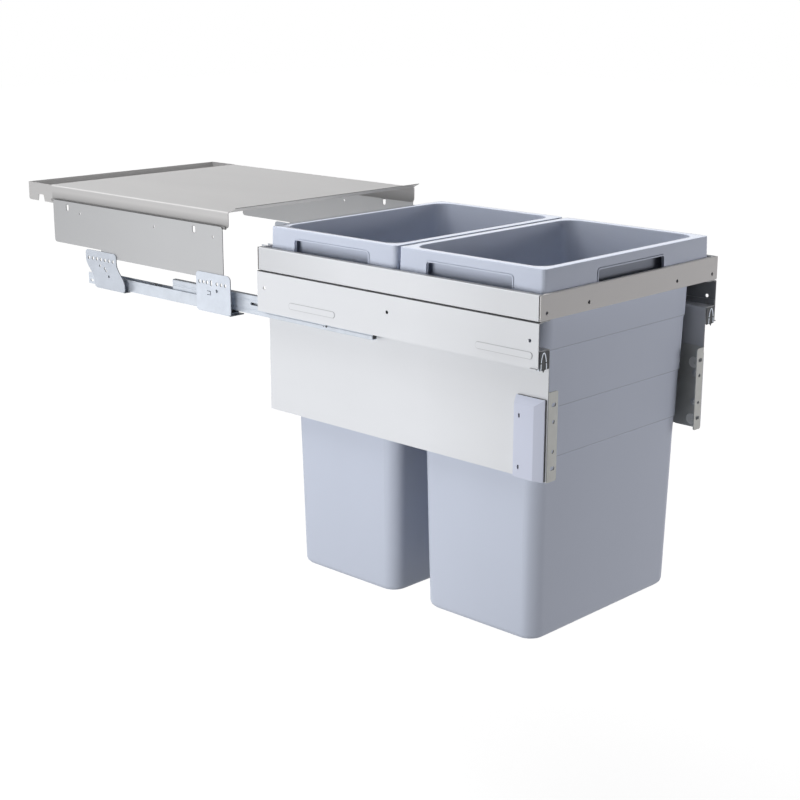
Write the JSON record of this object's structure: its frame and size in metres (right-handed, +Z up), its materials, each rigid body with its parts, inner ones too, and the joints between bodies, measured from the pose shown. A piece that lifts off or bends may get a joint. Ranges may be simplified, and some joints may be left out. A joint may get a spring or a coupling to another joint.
{
  "type": "pull-out waste bin unit",
  "caption": "Pull-out waste bin unit for a kitchen base cabinet: two lift-out bins in a sheet metal frame on ball runners, with a fixed cover that closes over them.",
  "frame": {"origin": "centre of the front crossbar's front face, where the cabinet's door is fixed, with the drawer fully open", "axes": "+X to the right seen from the front, +Y back into the cabinet, +Z up"},
  "size_m": [0.418, 1.105, 0.5388],
  "materials": {
    "bin_plastic": "fine grain, light grey",
    "frame_paint": "satin, light grey",
    "crossbar_paint": "satin, light grey",
    "cover_paint": "satin, grey",
    "zinc_steel": "zinc plated",
    "door_bracket_steel": "satin, grey",
    "fixing_steel": "zinc plated",
    "cover_plastic": "satin, light grey",
    "dark_plastic": "moulded, dark grey",
    "cage_plastic": "moulded, dark grey"
  },
  "bodies": {
    "cabinet_side": {"lid_sheet": "cover_paint", "lid_tray": "cover_paint", "lid_skirt_left": "cover_paint", "lid_skirt_right": "cover_paint", "lid_side_plate_left": "cover_paint", "lid_side_plate_right": "cover_paint", "front_bracket_left": "zinc_steel", "front_bracket_right": "zinc_steel", "rear_bracket_left": "zinc_steel", "rear_bracket_right": "zinc_steel", "cabinet_profile_left": "zinc_steel", "cabinet_profile_right": "zinc_steel", "profile_rivets_left": "fixing_steel", "profile_rivets_right": "fixing_steel"},
    "drawer": {"front_crossbar": "crossbar_paint", "rear_crossbar": "crossbar_paint", "side_rail_left": "frame_paint", "side_rail_right": "frame_paint", "upper_side_panel_left": "frame_paint", "upper_side_panel_right": "frame_paint", "lower_side_panel_left": "frame_paint", "lower_side_panel_right": "frame_paint", "drawer_profile_left": "zinc_steel", "drawer_profile_right": "zinc_steel", "profile_end_stop_left": "dark_plastic", "profile_end_stop_right": "dark_plastic", "door_bracket_left": "door_bracket_steel", "door_bracket_right": "door_bracket_steel", "clamp_screws_left": "fixing_steel", "clamp_screws_right": "fixing_steel", "bracket_cover_left": "cover_plastic", "bracket_cover_right": "cover_plastic"},
    "front_bin_body": {"front_bin": "bin_plastic"},
    "rear_bin_body": {"rear_bin": "bin_plastic"},
    "middle_left": {"middle_profile_left": "zinc_steel"},
    "upper_cage_left": {"upper_ball_cage_left": "cage_plastic"},
    "lower_cage_left": {"lower_ball_cage_left": "cage_plastic"},
    "middle_right": {"middle_profile_right": "zinc_steel"},
    "upper_cage_right": {"upper_ball_cage_right": "cage_plastic"},
    "lower_cage_right": {"lower_ball_cage_right": "cage_plastic"},
    "catch_left": {"closing_catch_left": "dark_plastic"},
    "catch_right": {"closing_catch_right": "dark_plastic"},
    "upper_cam_left_body": {"upper_cam_left": "fixing_steel"},
    "lower_cam_left_body": {"lower_cam_left": "fixing_steel"},
    "upper_cam_right_body": {"upper_cam_right": "fixing_steel"},
    "lower_cam_right_body": {"lower_cam_right": "fixing_steel"}
  },
  "joints": [
    {"name": "drawer_slide", "type": "slide", "parent": "cabinet_side", "child": "drawer", "axis": [0, -1, 0], "range_m": [-0.575, 0]},
    {"name": "middle_left_slide", "type": "slide", "parent": "cabinet_side", "child": "middle_left", "axis": [0, -1, 0], "range_m": [-0.2875, 0]},
    {"name": "upper_cage_left_slide", "type": "slide", "parent": "cabinet_side", "child": "upper_cage_left", "axis": [0, -1, 0], "range_m": [-0.43125, 0]},
    {"name": "lower_cage_left_slide", "type": "slide", "parent": "cabinet_side", "child": "lower_cage_left", "axis": [0, -1, 0], "range_m": [-0.14375, 0]},
    {"name": "middle_right_slide", "type": "slide", "parent": "cabinet_side", "child": "middle_right", "axis": [0, -1, 0], "range_m": [-0.2875, 0]},
    {"name": "upper_cage_right_slide", "type": "slide", "parent": "cabinet_side", "child": "upper_cage_right", "axis": [0, -1, 0], "range_m": [-0.43125, 0]},
    {"name": "lower_cage_right_slide", "type": "slide", "parent": "cabinet_side", "child": "lower_cage_right", "axis": [0, -1, 0], "range_m": [-0.14375, 0]},
    {"name": "front_bin_lift", "type": "slide", "parent": "drawer", "child": "front_bin_body", "axis": [0, 0, 1], "range_m": [0, 0.53]},
    {"name": "rear_bin_lift", "type": "slide", "parent": "drawer", "child": "rear_bin_body", "axis": [0, 0, 1], "range_m": [0, 0.53]},
    {"name": "catch_left_slide", "type": "slide", "parent": "cabinet_side", "child": "catch_left", "axis": [0, -1, 0], "range_m": [-0.045, 0]},
    {"name": "catch_right_slide", "type": "slide", "parent": "cabinet_side", "child": "catch_right", "axis": [0, -1, 0], "range_m": [-0.045, 0]},
    {"name": "upper_cam_left_turn", "type": "hinge", "parent": "drawer", "child": "upper_cam_left_body", "pos_m": [-0.1759, 0.0125, -0.1358], "axis": [1, 0, 0], "range_deg": [-90, 90]},
    {"name": "lower_cam_left_turn", "type": "hinge", "parent": "drawer", "child": "lower_cam_left_body", "pos_m": [-0.1759, 0.0125, -0.2198], "axis": [1, 0, 0], "range_deg": [-90, 90]},
    {"name": "upper_cam_right_turn", "type": "hinge", "parent": "drawer", "child": "upper_cam_right_body", "pos_m": [0.1759, 0.0125, -0.1358], "axis": [1, 0, 0], "range_deg": [-90, 90]},
    {"name": "lower_cam_right_turn", "type": "hinge", "parent": "drawer", "child": "lower_cam_right_body", "pos_m": [0.1759, 0.0125, -0.2198], "axis": [1, 0, 0], "range_deg": [-90, 90]}
  ],
  "couplings": [
    {"joint": "middle_left_slide", "follows": "drawer_slide", "ratio": 0.5},
    {"joint": "upper_cage_left_slide", "follows": "drawer_slide", "ratio": 0.75},
    {"joint": "lower_cage_left_slide", "follows": "drawer_slide", "ratio": 0.25},
    {"joint": "middle_right_slide", "follows": "drawer_slide", "ratio": 0.5},
    {"joint": "upper_cage_right_slide", "follows": "drawer_slide", "ratio": 0.75},
    {"joint": "lower_cage_right_slide", "follows": "drawer_slide", "ratio": 0.25}
  ]
}
